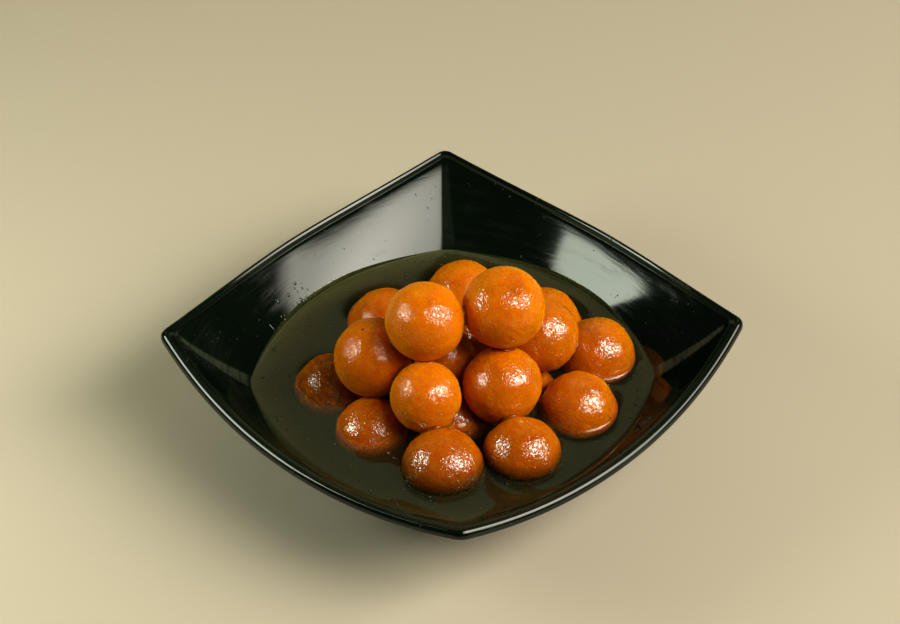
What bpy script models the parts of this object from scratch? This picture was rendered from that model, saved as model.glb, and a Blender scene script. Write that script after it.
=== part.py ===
"""Gulab jamun in syrup: a heap of soft fried balls in a square black bowl, modelled in metres.

The bowl stands on z = 0 with its middle on the origin and its sides along X and Y. Its corners
rise and its sides bow out and dip, so each level of it is a four-sided ring: a circle at the
foot, nearly square at the rim. The syrup fills it up to a level and is cut round every ball.
"""

import math

import bmesh
import bpy
import numpy as np

# Bowl: half sizes measured from its middle axis, heights from the table
RIM_CORNER_REACH = 0.1083
RIM_SIDE_REACH = 0.0882
RIM_CORNER_HEIGHT = 0.0505
RIM_SIDE_HEIGHT = 0.0424
RIM_WIDTH_AT_CORNER = 0.0054
RIM_WIDTH_AT_SIDE = 0.0047
LIP_DROP = 0.0006
# The rim from its inner lip to its underside: share of its width in from the outer edge, drop
RIM_PROFILE = (
    (1.0, LIP_DROP),
    (0.86, 0.0),
    (0.5, -0.0004),
    (0.12, 0.0004),
    (0.0, 0.0012),
    (0.0, 0.0021),
    (0.12, 0.0026),
)
FLOOR_TOP = 0.0050
WALL = 0.0030
FLOOR_REACH = 0.0352
SWEEP_RADIUS = 0.0400
SIDE_SWEEP_TURN = math.radians(44.0)
CORNER_SWEEP_TURN = math.radians(33.0)
SIDE_LIP_SLOPE = math.radians(58.7)
CORNER_LIP_SLOPE = math.radians(52.0)
FOOT_REACH = 0.0470
# The foot ring from its root outside to its root inside: reach past its outer face, height
FOOT_PROFILE = (
    (0.0006, FLOOR_TOP - WALL + 0.0014),
    (0.0, 0.0004),
    (-0.0004, 0.0),
    (-0.0031, 0.0),
    (-0.0035, 0.0004),
    (-0.0038, FLOOR_TOP - WALL),
)
CORNER_ROUNDING = 0.0030
SIDE_STEPS = 8
CORNER_STEPS = 3
SWEEP_STEPS = 3
WALL_STEPS = 4
OUTER_WALL_SHARES = (0.93, 0.5, 0.0)
OUTER_SWEEP_SHARE = 0.6
FLOOR_DISC_SHARE = 0.5

# The bow of a ring's side, from a circle's at the floor to a square's at the rim
CIRCLE_BOW_POWER = 2.18
RIM_BOW_POWER = 1.87
DIP_POWER = 2.45

SYRUP_LEVEL = 0.0255
FIT_GAP = 0.0003
PRESS_GAP = 0.0004
NEIGHBOUR_REACH = 0.002
BOWL_GAP = 0.0011
BALL_SIDES = 14
BALL_BANDS = 9
UNEVENNESS = 0.010
SHARP_ANGLE = math.radians(35.0)

# Each ball: its middle (x, y, z) and its radius, in millimetres, from the bottom layer up
BALLS = (
    (-32.0, -32.0, 19.5, 14.0),
    (-5.0, -38.0, 19.0, 13.5),
    (30.5, -37.5, 23.0, 15.5),
    (47.0, -13.0, 24.0, 14.5),
    (45.0, 20.0, 24.0, 14.0),
    (31.5, 46.0, 26.0, 14.0),
    (4.5, 45.5, 24.5, 14.5),
    (-31.0, 39.0, 22.0, 14.5),
    (-42.0, 7.5, 21.0, 14.5),
    (-19.0, -8.0, 19.5, 14.0),
    (13.0, -13.5, 18.0, 12.5),
    (21.0, 16.0, 18.0, 12.0),
    (-2.5, 19.0, 26.5, 13.5),
    (-16.5, -25.5, 41.5, 14.5),
    (11.5, -26.5, 40.0, 13.0),
    (25.5, -0.5, 37.5, 14.5),
    (20.0, 27.0, 41.0, 14.0),
    (-1.0, -4.5, 37.0, 12.5),
    (0.0, -14.5, 62.0, 14.5),
    (17.0, 9.5, 63.5, 15.0),
)

MELAMINE_BLACK = (0.012, 0.014, 0.011, 1.0)
SYRUP_BROWN = (0.045, 0.030, 0.008, 1.0)
FRIED_GOLD = (0.55, 0.17, 0.015, 1.0)
MELAMINE_ROUGHNESS = 0.12
SYRUP_ROUGHNESS = 0.05
FRIED_ROUGHNESS = 0.25


def remove_old_objects():
    for old in list(bpy.data.objects):
        bpy.data.objects.remove(old, do_unlink=True)


def material(name, colour, roughness):
    """A plain Principled material with the sub-part's own colour and gloss."""
    made = bpy.data.materials.new(name)
    made.use_nodes = True
    shader = made.node_tree.nodes["Principled BSDF"]
    shader.inputs["Base Color"].default_value = colour
    shader.inputs["Roughness"].default_value = roughness
    shader.inputs["Metallic"].default_value = 0.0
    return made


def add_object(name, mesh, place=(0.0, 0.0, 0.0)):
    made = bpy.data.objects.new(name, mesh)
    made.location = place
    bpy.context.scene.collection.objects.link(made)
    return made


def side_of_ring(t, corner, middle, power):
    """One side of a ring, facing +Y, at t from -1 to 1: half the side across, then a bow, then a dip.

    corner and middle are (reach, height) pairs at the side's ends and at its middle.
    """
    half = corner[0] / math.sqrt(2.0)
    bow = middle[0] - half
    x = half * t
    y = half + bow * (1.0 - np.abs(t) ** power)
    z = corner[1] + (middle[1] - corner[1]) * (1.0 - np.abs(t) ** DIP_POWER)
    return np.stack([x, y, z], axis=-1)


def ring(corner, middle, power):
    """A closed ring of points: four sides, with each corner rounded by a quadratic curve."""
    half = corner[0] / math.sqrt(2.0)
    end = 1.0 - CORNER_ROUNDING / half
    side = side_of_ring(np.linspace(-end, end, SIDE_STEPS + 1), corner, middle, power)
    tip = side_of_ring(np.array([1.0]), corner, middle, power)[0]
    # The next side is this one turned clockwise, so its first point is this side's last one mirrored
    start, stop = side[-1], side[-1][[1, 0, 2]]
    share = np.arange(1, CORNER_STEPS + 1)[:, None] / (CORNER_STEPS + 1)
    round_corner = (1 - share) ** 2 * start + 2 * share * (1 - share) * tip + share**2 * stop
    quarter = np.concatenate([side, round_corner])
    turns = []
    for k in range(4):
        c, s = math.cos(-k * math.pi / 2), math.sin(-k * math.pi / 2)
        turns.append(quarter @ np.array([[c, s, 0.0], [-s, c, 0.0], [0.0, 0.0, 1.0]]))
    return np.concatenate(turns)


def circle_ring(reach, height):
    return ring((reach, height), (reach, height), CIRCLE_BOW_POWER)


def bow_power(height):
    """The bow's power falls evenly from a circle's at the floor to the rim's."""
    share = (height - FLOOR_TOP) / (RIM_SIDE_HEIGHT - FLOOR_TOP)
    return CIRCLE_BOW_POWER + min(max(share, 0.0), 1.0) * (RIM_BOW_POWER - CIRCLE_BOW_POWER)


def sweep_point(turn, inward):
    """A point (reach, height) where the curve up from the round floor has turned so far, moved inward."""
    radius = SWEEP_RADIUS - inward
    return (FLOOR_REACH + radius * math.sin(turn), FLOOR_TOP + SWEEP_RADIUS - radius * math.cos(turn))


def sweep_ring(share, inward):
    """A ring of the bowl's curved lower wall: share runs from 0 at the floor to 1 where the wall begins."""
    corner = sweep_point(share * CORNER_SWEEP_TURN, inward)
    side = sweep_point(share * SIDE_SWEEP_TURN, inward)
    return ring(corner, side, bow_power(side[1]))


def wall_point(turn, lip, lip_slope, share, inward):
    """A point (reach, height) on the wall, a cubic curve from the sweep's end to the lip, moved inward.

    It leaves at the sweep's slope and arrives at the lip's, with handles a third of its span long.
    """
    foot = np.array(sweep_point(turn, 0.0))
    lip = np.array(lip)
    handle = np.linalg.norm(lip - foot) / 3.0
    first = foot + handle * np.array([math.cos(turn), math.sin(turn)])
    second = lip - handle * np.array([math.cos(lip_slope), math.sin(lip_slope)])
    rest = 1.0 - share
    point = rest**3 * foot + 3 * rest**2 * share * first + 3 * rest * share**2 * second + share**3 * lip
    way = rest**2 * (first - foot) + 2 * rest * share * (second - first) + share**2 * (lip - second)
    way = way / np.linalg.norm(way)
    return point + inward * np.array([-way[1], way[0]])


def corner_wall(share, inward):
    lip = (RIM_CORNER_REACH - RIM_WIDTH_AT_CORNER, RIM_CORNER_HEIGHT - LIP_DROP)
    return wall_point(CORNER_SWEEP_TURN, lip, CORNER_LIP_SLOPE, share, inward)


def side_wall(share, inward):
    lip = (RIM_SIDE_REACH - RIM_WIDTH_AT_SIDE, RIM_SIDE_HEIGHT - LIP_DROP)
    return wall_point(SIDE_SWEEP_TURN, lip, SIDE_LIP_SLOPE, share, inward)


def wall_ring(share, inward):
    corner, side = corner_wall(share, inward), side_wall(share, inward)
    return ring(corner, side, bow_power(side[1]))


def level_ring(height, inward):
    """A flat ring at one height on the wall, moved inward: where a level surface meets the bowl."""
    shares = np.linspace(0.0, 1.0, 201)
    points = []
    for wall in (corner_wall, side_wall):
        reach, heights = np.array([wall(share, inward) for share in shares]).T
        points.append((np.interp(height, heights, reach), height))
    return ring(points[0], points[1], bow_power(height))


def rim_ring(inset_share, drop):
    """A ring of the rim: inset_share is 0 at its outer edge and 1 at its inner lip."""
    corner = (RIM_CORNER_REACH - inset_share * RIM_WIDTH_AT_CORNER, RIM_CORNER_HEIGHT - drop)
    side = (RIM_SIDE_REACH - inset_share * RIM_WIDTH_AT_SIDE, RIM_SIDE_HEIGHT - drop)
    return ring(corner, side, RIM_BOW_POWER)


def loft(rings):
    """A closed body through rings of equal count, its first and last ring filled across."""
    count = len(rings[0])
    faces = [tuple(range(count)), tuple(range(len(rings) * count - 1, (len(rings) - 1) * count - 1, -1))]
    for lower in range(0, (len(rings) - 1) * count, count):
        for i in range(count):
            j = (i + 1) % count
            faces.append((lower + j, lower + i, lower + count + i, lower + count + j))
    mesh = bpy.data.meshes.new("loft")
    mesh.from_pydata(np.concatenate(rings).tolist(), [], faces)
    body = bmesh.new()
    body.from_mesh(mesh)
    bmesh.ops.triangulate(body, faces=body.faces[:])
    if body.calc_volume(signed=True) < 0.0:
        bmesh.ops.reverse_faces(body, faces=body.faces[:])
    body.to_mesh(mesh)
    body.free()
    mesh.shade_smooth()
    return mesh


def make_bowl():
    """The bowl in one wall: up its inside, over the rim, down its outside, round the foot."""
    rings = [circle_ring(FLOOR_REACH * FLOOR_DISC_SHARE, FLOOR_TOP)]
    rings += [sweep_ring(k / SWEEP_STEPS, 0.0) for k in range(SWEEP_STEPS + 1)]
    rings += [wall_ring(k / WALL_STEPS, 0.0) for k in range(1, WALL_STEPS)]
    rings += [rim_ring(inset_share, drop) for inset_share, drop in RIM_PROFILE]
    rings += [wall_ring(share, -WALL) for share in OUTER_WALL_SHARES]
    rings.append(sweep_ring(OUTER_SWEEP_SHARE, -WALL))
    rings += [circle_ring(FOOT_REACH + out, height) for out, height in FOOT_PROFILE]
    mesh = loft(rings)
    mesh.materials.append(material("black_melamine", MELAMINE_BLACK, MELAMINE_ROUGHNESS))
    add_object("bowl", mesh)


def unevenness(directions, order):
    """A small share by which a ball's radius varies: two soft ovals and a slight lean, turned by order."""
    shape = np.zeros(len(directions))
    for k, strength in enumerate((1.0, 0.8, 0.6)):
        spin = 2.399963 * (order + 1) * (k + 1)
        tilt = 0.7 + 1.1 * math.sin(1.7 * order + 2.1 * k)
        axis = np.array(
            [math.cos(spin) * math.sin(tilt), math.sin(spin) * math.sin(tilt), math.cos(tilt)]
        )
        along = directions @ axis
        shape += strength * ((1.5 * along**2 - 0.5) if k < 2 else along**3)
    return UNEVENNESS * shape


def sphere_directions():
    """Unit directions of a sphere with a point at each pole, and its faces."""
    turn = np.arange(BALL_SIDES) * 2 * math.pi / BALL_SIDES
    bands = np.arange(1, BALL_BANDS) * math.pi / BALL_BANDS
    grid = [(math.sin(b) * np.cos(turn), math.sin(b) * np.sin(turn), math.cos(b) + 0 * turn) for b in bands]
    middle = np.concatenate([np.stack(row, axis=-1) for row in grid])
    points = np.concatenate([[[0.0, 0.0, 1.0]], middle, [[0.0, 0.0, -1.0]]])
    last = len(points) - 1
    faces = []
    for i in range(BALL_SIDES):
        j = (i + 1) % BALL_SIDES
        faces.append((0, 1 + i, 1 + j))
        for row in range(BALL_BANDS - 2):
            upper = 1 + row * BALL_SIDES
            lower = upper + BALL_SIDES
            faces.append((upper + i, lower + i, lower + j, upper + j))
        faces.append((last, last - BALL_SIDES + j, last - BALL_SIDES + i))
    return points, faces


def free_ball(order, directions, grown=0.0):
    """One ball's points about its middle before anything presses it, its surface grown by a distance."""
    radius = BALLS[order][3] / 1000.0
    return directions * ((radius * (1.0 + unevenness(directions, order)))[:, None] + grown)


def pressed_ball(order, directions):
    """One ball's points about its middle, flattened where a neighbour or the floor presses it.

    Two balls meet at the plane where their spheres cross, and each stops half the gap short of it.
    """
    rows = np.array(BALLS) / 1000.0
    centre, radius = rows[order, :3], rows[order, 3]
    points = free_ball(order, directions)
    for other in range(len(rows)):
        apart = rows[other, :3] - centre
        distance = np.linalg.norm(apart)
        if other == order or distance > radius + rows[other, 3] + NEIGHBOUR_REACH:
            continue
        way = apart / distance
        limit = (distance**2 + radius**2 - rows[other, 3] ** 2) / (2 * distance)
        over = np.maximum(points @ way - (limit - PRESS_GAP / 2), 0.0)
        points = points - over[:, None] * way
    return rest_on_bowl(points + centre) - centre


def rest_on_bowl(points):
    """Moves points that come too near the bowl's floor and curved lower wall back inside them.

    Across the curve the limit is a circle about the sweep's middle. The wall above leaves that
    circle outwards, so the circle goes on as the limit there.
    """
    reach = np.hypot(points[:, 0], points[:, 1])
    across = np.maximum(reach - FLOOR_REACH, 0.0)
    down = np.minimum(points[:, 2] - FLOOR_TOP - SWEEP_RADIUS, 0.0)
    share = np.minimum((SWEEP_RADIUS - BOWL_GAP) / np.maximum(np.hypot(across, down), 0.001), 1.0)
    inner = (np.minimum(reach, FLOOR_REACH) + across * share) / np.maximum(reach, 0.001)
    rested = points.copy()
    rested[:, :2] *= inner[:, None]
    rested[:, 2] = np.where(down < 0.0, FLOOR_TOP + SWEEP_RADIUS + down * share, points[:, 2])
    return rested


def ball_mesh(points, faces):
    mesh = bpy.data.meshes.new("ball")
    mesh.from_pydata(points.tolist(), [], faces)
    mesh.shade_smooth()
    return mesh


def make_balls():
    gold = material("fried_gold", FRIED_GOLD, FRIED_ROUGHNESS)
    directions, faces = sphere_directions()
    for order, ball in enumerate(BALLS):
        mesh = ball_mesh(pressed_ball(order, directions), faces)
        mesh.materials.append(gold)
        add_object(f"gulab_jamun_{order + 1:02d}", mesh, np.array(ball[:3]) / 1000.0)


def make_syrup():
    """The syrup: the bowl's inside up to its level, a fit gap off the wall, less every ball in it."""
    rings = [circle_ring(FLOOR_REACH * FLOOR_DISC_SHARE, FLOOR_TOP + FIT_GAP)]
    rings += [sweep_ring(k / SWEEP_STEPS, FIT_GAP) for k in range(SWEEP_STEPS + 1)]
    rings.append(level_ring(SYRUP_LEVEL, FIT_GAP))
    mesh = loft(rings)
    mesh.materials.append(material("syrup_brown", SYRUP_BROWN, SYRUP_ROUGHNESS))
    mesh.set_sharp_from_angle(angle=SHARP_ANGLE)
    syrup = add_object("syrup", mesh)
    directions, faces = sphere_directions()
    for order, ball in enumerate(BALLS):
        if (ball[2] - ball[3]) / 1000.0 > SYRUP_LEVEL + FIT_GAP:
            continue
        points = free_ball(order, directions, FIT_GAP)
        cutter = add_object(f"cutter_{order + 1:02d}", ball_mesh(points, faces), np.array(ball[:3]) / 1000.0)
        cutter.hide_render = True
        cutter.display_type = "WIRE"
        cut = syrup.modifiers.new(f"round_ball_{order + 1:02d}", "BOOLEAN")
        cut.operation = "DIFFERENCE"
        cut.object = cutter


remove_old_objects()
make_bowl()
make_balls()
make_syrup()
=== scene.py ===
"""Gulab jamun in a square black bowl: soft fried milk balls heaped in dark sugar syrup.

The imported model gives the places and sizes. Each ball, the syrup and the bowl are made again as
fine surfaces over it, with wet skin, menisci, syrup bridges, bubbles and splashes.
All lengths are in metres.
"""

import math

import bpy
import numpy as np
from mathutils import Matrix, Vector


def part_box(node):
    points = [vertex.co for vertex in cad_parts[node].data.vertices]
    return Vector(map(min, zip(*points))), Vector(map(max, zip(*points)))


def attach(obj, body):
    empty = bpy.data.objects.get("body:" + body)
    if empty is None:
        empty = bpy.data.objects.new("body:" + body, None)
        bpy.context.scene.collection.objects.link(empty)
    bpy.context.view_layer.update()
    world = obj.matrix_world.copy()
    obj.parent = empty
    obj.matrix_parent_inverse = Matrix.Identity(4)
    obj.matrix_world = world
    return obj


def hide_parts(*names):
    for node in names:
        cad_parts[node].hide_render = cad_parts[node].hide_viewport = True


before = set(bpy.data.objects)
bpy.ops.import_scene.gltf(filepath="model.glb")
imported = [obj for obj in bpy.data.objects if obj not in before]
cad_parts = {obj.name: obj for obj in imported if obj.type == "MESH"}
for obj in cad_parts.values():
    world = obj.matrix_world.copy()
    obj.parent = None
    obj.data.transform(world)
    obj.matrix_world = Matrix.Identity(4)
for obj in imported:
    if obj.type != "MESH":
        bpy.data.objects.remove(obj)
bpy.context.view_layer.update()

MM = 0.001

# ---------------------------------------------------------------- the bowl's form, as moulded
RIM_CORNER_REACH = 108.3 * MM
RIM_SIDE_REACH = 88.2 * MM
RIM_CORNER_HEIGHT = 50.5 * MM
RIM_SIDE_HEIGHT = 42.4 * MM
RIM_WIDTH_AT_CORNER = 5.4 * MM
RIM_WIDTH_AT_SIDE = 4.7 * MM
FLOOR_TOP = 5.0 * MM
FLOOR_REACH = 35.2 * MM
WALL = 3.0 * MM
SWEEP_RADIUS = 40.0 * MM
SIDE_SWEEP_TURN = math.radians(44.0)
CORNER_SWEEP_TURN = math.radians(33.0)
SIDE_LIP_SLOPE = math.radians(58.7)
CORNER_LIP_SLOPE = math.radians(52.0)
LIP_DROP = 0.6 * MM
CORNER_ROUNDING = 3.0 * MM
CIRCLE_BOW_POWER = 2.18
RIM_BOW_POWER = 1.87
DIP_POWER = 2.45
# The rim's section: the share of its width in from the outer edge, and mm below its nominal top
RIM_PROFILE = (
    # The lip and the flat land behind it
    (1.0, 0.60), (0.985, 0.36), (0.955, 0.24), (0.90, 0.18), (0.80, 0.20), (0.68, 0.24), (0.60, 0.20),
    # Up the bead and over it
    (0.57, 0.12), (0.54, -0.03), (0.50, -0.25), (0.46, -0.46), (0.43, -0.58), (0.40, -0.64),
    (0.36, -0.66), (0.33, -0.65), (0.30, -0.61), (0.26, -0.50),
    # Down its long outer side to the edge
    (0.22, -0.37), (0.18, -0.21), (0.14, -0.02), (0.10, 0.21), (0.07, 0.42), (0.04, 0.72), (0.02, 1.03),
    (0.01, 1.35), (0.0, 1.75), (0.0, 2.00), (0.02, 2.30), (0.07, 2.52), (0.14, 2.60),
)
OUTSIDE_TOP = 0.93  # the share of the wall's height where its plain outside begins
OUTSIDE_SWEEP_END = 0.6  # the share of the sweep that the outside follows before it runs to the foot
FOOT_REACH = 47.0 * MM
# The foot ring's section, from its outer face to its inner one: mm off its outer face, mm above ground
FOOT_PROFILE = (
    (0.6, 3.4), (0.25, 3.1), (0.1, 2.6), (0.0, 0.5), (-0.12, 0.12), (-0.5, 0.0),
    (-3.0, 0.0), (-3.38, 0.12), (-3.5, 0.5), (-3.7, 1.6), (-4.1, 2.0),
)

# How its surface is divided: steps along a side and round a corner, and rings from the middle outwards,
# over the rim and back to the middle underneath
SIDE_STEPS = 56
CORNER_STEPS = 9
FLOOR_SHARES = (0.02, 0.3, 0.6, 0.85)
SWEEP_RINGS = 13
WALL_RINGS = 29
OUTSIDE_RINGS = 18
UNDERSIDE_SHARES = (0.6, 0.02)

# The painted reflection down the creases, a pale olive-grey laid into the colour: its strength in each, from
# +X +Y on clockwise
CREASE_SHEEN = (1.0, 0.2, 0.5, 0.1)
# Its half width at the wall's foot, how much narrower it is at the lip, and its soft edge, in side steps
CREASE_HALF_WIDTH = 7.2
CREASE_NARROWING = 4.8
CREASE_EDGE = 1.5
CREASE_TOP = 0.96  # the share of the wall that it climbs
CREASE_CLEARANCE = 0.4  # mm above the syrup where it begins

SYRUP_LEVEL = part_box("syrup")[1].z - 1.0 * MM  # the wetted edges stand higher


# ---------------------------------------------------------------- meshes from whole arrays
def grid_faces(rows, columns, closed):
    """Quads of a grid of points kept row by row. A closed grid joins its last column to its first."""
    across = columns if closed else columns - 1
    first = np.arange(rows - 1)[:, None] * columns + np.arange(across)
    beside = np.arange(rows - 1)[:, None] * columns + (np.arange(across) + 1) % columns
    return np.stack([first, beside, beside + columns, first + columns], axis=-1).reshape(-1, 4)


def tube_faces(rows, columns):
    """Faces of a tube of closed rings whose two ends are shut by fans to a point each.

    The points are the rings in order and then the first and the last end's middle.
    """
    around = np.arange(columns)
    beside = (around + 1) % columns
    first_middle = np.full(columns, rows * columns)
    last = (rows - 1) * columns
    first_fan = np.stack([first_middle, beside, around], axis=-1)
    last_fan = np.stack([first_middle + 1, last + around, last + beside], axis=-1)
    return [grid_faces(rows, columns, True), first_fan, last_fan]


def new_piece(name, points, faces, finish, flipped=False):
    """A smooth-shaded mesh object at the origin. faces is a list of index arrays."""
    rows = [row for block in faces for row in (block[:, ::-1] if flipped else block).tolist()]
    mesh = bpy.data.meshes.new(name)
    mesh.from_pydata(points.reshape(-1, 3).tolist(), [], rows)
    mesh.shade_smooth()
    mesh.materials.append(finish)
    piece = bpy.data.objects.new(name, mesh)
    bpy.context.scene.collection.objects.link(piece)
    return piece


def give_attribute(piece, name, values):
    """A number at every point of a piece, which its material reads by name."""
    attribute = piece.data.attributes.new(name, "FLOAT", "POINT")
    attribute.data.foreach_set("value", values)


# ---------------------------------------------------------------- the bowl
def bow_power(height):
    """How square the bow of a ring's sides is, from the round floor's up to the rim's."""
    share = np.clip((height - FLOOR_TOP) / (RIM_SIDE_HEIGHT - FLOOR_TOP), 0.0, 1.0)
    return CIRCLE_BOW_POWER + share * (RIM_BOW_POWER - CIRCLE_BOW_POWER)


def ring_side(t, corner, middle, power):
    """One side of a ring at t from -1 to 1: a straight side, plus a bow and a dip.

    The bow and the dip both fall from full at the middle as 1 - |t| to a power.
    """
    half = corner[0] / math.sqrt(2.0)
    x = half * t
    y = half + (middle[0] - half) * (1.0 - np.abs(t) ** power)
    z = corner[1] + (middle[1] - corner[1]) * (1.0 - np.abs(t) ** DIP_POWER)
    return np.stack([x, y, z], axis=-1)


def four_sides(quarter):
    """A quarter of a ring and its copies at one, two and three quarter turns clockwise."""
    turns = []
    for k in range(4):
        c, s = round(math.cos(k * math.pi / 2)), round(math.sin(k * math.pi / 2))
        turns.append(quarter @ np.array([[c, -s, 0.0], [s, c, 0.0], [0.0, 0.0, 1.0]]))
    return np.concatenate(turns)


def ring(corner, middle, power=None):
    """A closed ring through (reach, height) at its corners and at its sides' middles.

    Each corner is a quadratic curve from the end of one side, past the tip, to the next side.
    """
    power = bow_power(middle[1]) if power is None else power
    end = 1.0 - CORNER_ROUNDING / (corner[0] / math.sqrt(2.0))
    side = ring_side(np.linspace(-end, end, SIDE_STEPS + 1), corner, middle, power)
    tip = ring_side(np.array([1.0]), corner, middle, power)[0]
    start, stop = side[-1], side[-1][[1, 0, 2]]
    share = np.arange(1, CORNER_STEPS + 1)[:, None] / (CORNER_STEPS + 1)
    bend = (1 - share) ** 2 * start + 2 * share * (1 - share) * tip + share**2 * stop
    return four_sides(np.concatenate([side, bend]))


def circle_ring(reach, height):
    """A level ring on the round floor or under it."""
    return ring((reach, height), (reach, height), CIRCLE_BOW_POWER)


def sweep_point(turn, inward):
    """(reach, height) where the curve up from the round floor has turned so far, moved inward."""
    radius = SWEEP_RADIUS - inward
    return (FLOOR_REACH + radius * math.sin(turn), FLOOR_TOP + SWEEP_RADIUS - radius * math.cos(turn))


def sweep_ring(share, inward=0.0):
    """A ring of the curved lower wall: share is 0 at the floor and 1 where the wall begins."""
    corner = sweep_point(share * CORNER_SWEEP_TURN, inward)
    return ring(corner, sweep_point(share * SIDE_SWEEP_TURN, inward))


def wall_point(turn, lip, lip_slope, share, inward):
    """(reach, height) on the wall, a cubic curve from the sweep's end to the lip, moved inward.

    It leaves at the sweep's slope and arrives at the lip's, with handles a third of its span long.
    """
    foot = np.array(sweep_point(turn, 0.0))
    lip = np.array(lip)
    handle = np.linalg.norm(lip - foot) / 3.0
    first = foot + handle * np.array([math.cos(turn), math.sin(turn)])
    second = lip - handle * np.array([math.cos(lip_slope), math.sin(lip_slope)])
    rest = 1.0 - share
    point = rest**3 * foot + 3 * rest**2 * share * first + 3 * rest * share**2 * second + share**3 * lip
    way = rest**2 * (first - foot) + 2 * rest * share * (second - first) + share**2 * (lip - second)
    way = way / np.linalg.norm(way)
    return point + inward * np.array([-way[1], way[0]])


def corner_wall(share, inward=0.0):
    """(reach, height) up the crease between two walls."""
    lip = (RIM_CORNER_REACH - RIM_WIDTH_AT_CORNER, RIM_CORNER_HEIGHT - LIP_DROP)
    return wall_point(CORNER_SWEEP_TURN, lip, CORNER_LIP_SLOPE, share, inward)


def side_wall(share, inward=0.0):
    """(reach, height) up the middle of a wall."""
    lip = (RIM_SIDE_REACH - RIM_WIDTH_AT_SIDE, RIM_SIDE_HEIGHT - LIP_DROP)
    return wall_point(SIDE_SWEEP_TURN, lip, SIDE_LIP_SLOPE, share, inward)


def wall_ring(share, inward=0.0):
    """A ring of the four walls: share is 0 where they begin and 1 at the lip."""
    return ring(corner_wall(share, inward), side_wall(share, inward))


def rim_ring(inset, drop):
    """A ring of the rim: inset is 0 at its outer edge and 1 at its inner lip, drop is below its top."""
    corner = (RIM_CORNER_REACH - inset * RIM_WIDTH_AT_CORNER, RIM_CORNER_HEIGHT - drop)
    side = (RIM_SIDE_REACH - inset * RIM_WIDTH_AT_SIDE, RIM_SIDE_HEIGHT - drop)
    return ring(corner, side, RIM_BOW_POWER)


def between(first, last, steps):
    """Rings in even steps from one ring up to another, without either."""
    share = np.arange(1, steps)[:, None, None] / steps
    return list(first + share * (last - first))


def crease_sheen_share(points, ring_count):
    """How much painted reflection lies at each point: full near the creases' lines, narrower with height.

    It is nothing on the floor and the sweep, on the rim and below the syrup.
    """
    column = np.arange(SIDE_STEPS + 1 + CORNER_STEPS) - (SIDE_STEPS + 0.5 * (CORNER_STEPS + 1))
    up = (np.arange(ring_count)[:, None] - (len(FLOOR_SHARES) + SWEEP_RINGS)) / WALL_RINGS
    half_width = CREASE_HALF_WIDTH - CREASE_NARROWING * up
    quarter = np.clip((half_width - np.abs(column)) / CREASE_EDGE, 0.0, 1.0) * (up > 0.0) * (up < CREASE_TOP)
    film = np.concatenate([quarter * strength for strength in CREASE_SHEEN], axis=1).ravel()
    return film * np.clip((points[:, 2] - SYRUP_LEVEL) / MM - CREASE_CLEARANCE, 0.0, 1.0)


def make_bowl(finish):
    """The bowl's one wall, carried round its four sides: floor, sweep, wall, rim, outside and foot."""
    rings = [circle_ring(FLOOR_REACH * share, FLOOR_TOP) for share in FLOOR_SHARES]
    rings += [sweep_ring(share) for share in np.linspace(0.0, 1.0, SWEEP_RINGS)]
    rings += [wall_ring(share) for share in np.linspace(0.0, 1.0, WALL_RINGS + 2)[1:-1]]
    rings += [rim_ring(inset, drop * MM) for inset, drop in RIM_PROFILE]
    rings += between(rings[-1], wall_ring(OUTSIDE_TOP, -WALL), 3)
    rings += [wall_ring(share, -WALL) for share in np.linspace(OUTSIDE_TOP, 0.0, OUTSIDE_RINGS)]
    rings += [sweep_ring(share, -WALL) for share in np.linspace(1.0, OUTSIDE_SWEEP_END, 7)[1:]]
    foot = [circle_ring(FOOT_REACH + reach * MM, height * MM) for reach, height in FOOT_PROFILE]
    rings += between(rings[-1], foot[0], 4) + foot
    rings += [circle_ring(FOOT_REACH * share, FLOOR_TOP - WALL) for share in UNDERSIDE_SHARES]
    points = np.concatenate(rings)
    middles = [[0.0, 0.0, FLOOR_TOP], [0.0, 0.0, FLOOR_TOP - WALL]]
    faces = tube_faces(len(rings), len(rings[0]))
    bowl = new_piece("bowl_fine", np.concatenate([points, middles]), faces, finish)
    # The crease attribute says where the painted reflection lies
    give_attribute(bowl, "crease", np.append(crease_sheen_share(points, len(rings)), [0.0, 0.0]))
    return bowl


# ---------------------------------------------------------------- the balls
BALLS = [name for name in sorted(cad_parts) if name.startswith("gulab_jamun")]
BALL_ROWS = 96
BALL_COLUMNS = 144
SPHERE_FITS = 8
PRESSED_DEPTH = 0.3 * MM  # points this far inside a fitted sphere count as pressed
UNEVENNESS = 0.010  # of the radius
OVALS_AND_LEAN = (1.0, 0.8, 0.6)  # their strengths
GOLDEN_ANGLE = 2.399963
DIMPLES = ((0.10, 11.0), (0.035, 3.6))  # depth and wavelength in mm
WRINKLE_DEPTH = 0.016 * MM
WRINKLE_WAVELENGTH = 1.5 * MM
WRINKLE_WAVES = 48
MEAN_WRINKLE = 0.8
PRESS_GAP = 0.05 * MM
PRESS_SOFTNESS = 0.12 * MM
PRESS_REACH = 2 * MM  # balls further apart don't press
BOWL_GAP = 0.3 * MM

# How brown each ball is, in the nodes' order: 0 is orange, 1 is brown and 2 is murky
TONES = (
    1.60, 0.55, 0.62, 0.57, 0.28, 0.26, 0.30, 0.20, 0.50, 0.50,
    0.50, 0.50, 0.50, 0.30, 0.06, 0.14, 0.26, 0.62, 0.05, 0.04,
)
# Painted light and shade: each ball is painted paler and more golden towards its top and browner towards its
# bottom
PAINTED_TOP_LIGHT = 0.12  # how much less brown a ball is for each radius of height
TONE_HEIGHT = 0.45  # radii above its middle, where it has just its own tone
# How much of each ball its wet film covers
FILMS = (
    0.30, 0.80, 0.75, 0.68, 1.00, 1.00, 0.80, 0.60, 0.50, 0.60,
    0.60, 0.60, 0.60, 0.42, 0.90, 0.95, 1.00, 0.60, 0.46, 0.46,
)
# How high above the syrup the two front balls are still soaked dark
SOAKED = {2: 10.5 * MM, 3: 8.0 * MM}


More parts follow.
